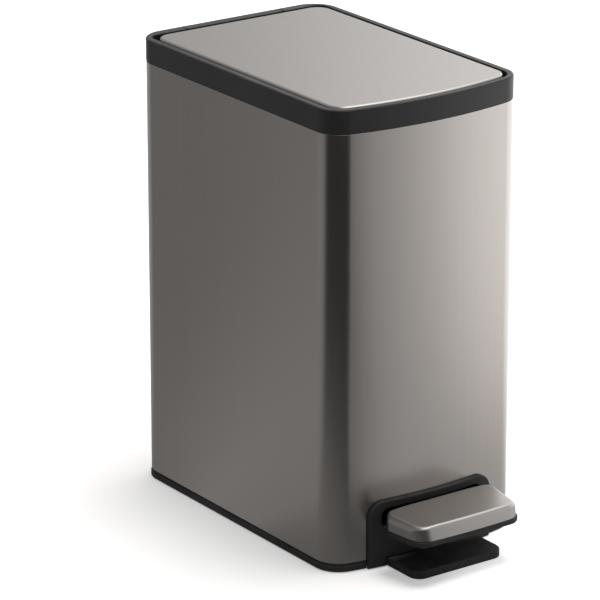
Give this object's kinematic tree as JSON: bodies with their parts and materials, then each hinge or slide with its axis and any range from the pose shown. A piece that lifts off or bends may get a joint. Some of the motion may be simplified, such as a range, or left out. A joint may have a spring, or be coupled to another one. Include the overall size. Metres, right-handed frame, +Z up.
{
  "type": "pedal bin",
  "caption": "Slim brushed-steel kitchen pedal bin with a bowed front, black plastic rim and base, a lift-out bucket and a damped lid raised by a lever and rod.",
  "frame": {"origin": "centre of the bounding box's footprint, at the floor", "axes": "+Z up, -Y the front with the pedal, +X the right-hand side as seen from the front"},
  "size_m": [0.166, 0.3004, 0.3414],
  "materials": {
    "brushed_steel": "vertical brushed, warm grey",
    "black_plastic": "satin black, fine texture",
    "inner_plastic": "matte black",
    "plated_steel": "zinc plated",
    "rubber": "matte black rubber",
    "natural_plastic": "natural off-white"
  },
  "bodies": {
    "bin": {"outer_shell": "brushed_steel", "rim_collar": "black_plastic", "hinge_cover": "black_plastic", "base_pan": "black_plastic", "pedal_surround": "black_plastic", "inner_bucket": "inner_plastic", "rear_channel": "inner_plastic", "damper_cylinder": "inner_plastic", "hinge_bracket": "plated_steel", "axle_bracket": "plated_steel", "pedal_axle": "plated_steel", "damper_clip": "natural_plastic", "axle_bush_left": "natural_plastic", "axle_bush_right": "natural_plastic", "hinge_pin_left": "plated_steel", "hinge_pin_right": "plated_steel", "hinge_screw_left": "plated_steel", "hinge_screw_right": "plated_steel", "axle_screw_front": "plated_steel", "axle_screw_rear": "plated_steel", "surround_screw_left": "plated_steel", "surround_screw_right": "plated_steel", "rubber_foot_front_left": "rubber", "lid_bumper_front_left": "rubber", "rubber_foot_front_right": "rubber", "lid_bumper_front_right": "rubber", "rubber_foot_rear_left": "rubber", "lid_bumper_rear_left": "rubber", "rubber_foot_rear_right": "rubber", "lid_bumper_rear_right": "rubber", "rubber_foot_pedal_plate": "rubber"},
    "lid": {"lid_skin": "brushed_steel", "lid_liner": "black_plastic", "hinge_yoke": "plated_steel", "yoke_screw_left": "plated_steel", "yoke_screw_middle": "plated_steel", "yoke_screw_right": "plated_steel"},
    "pedal": {"pedal_tread": "brushed_steel", "pedal_tray": "black_plastic", "pedal_screw_front": "plated_steel", "pedal_screw_rear": "plated_steel", "pedal_lever": "plated_steel"},
    "rod": {"push_rod": "plated_steel", "rod_shoe": "natural_plastic", "rod_cap": "natural_plastic", "damper_piston": "plated_steel", "damper_link": "natural_plastic"}
  },
  "joints": [
    {"name": "lid_open", "type": "hinge", "parent": "bin", "child": "lid", "pos_m": [0, 0.12965, 0.3328], "axis": [-1, 0, 0], "range_deg": [0, 78]},
    {"name": "pedal_press", "type": "hinge", "parent": "bin", "child": "pedal", "pos_m": [0, -0.04835, 0.016], "axis": [1, 0, 0], "range_deg": [0, 8.06]},
    {"name": "rod_lift", "type": "slide", "parent": "bin", "child": "rod", "axis": [0, 0, 1], "range_m": [0, 0.0227]}
  ],
  "couplings": [
    {"joint": "pedal_press", "follows": "lid_open", "ratio": 0.10329},
    {"joint": "rod_lift", "follows": "lid_open", "m_per_rad": 0.016642}
  ]
}
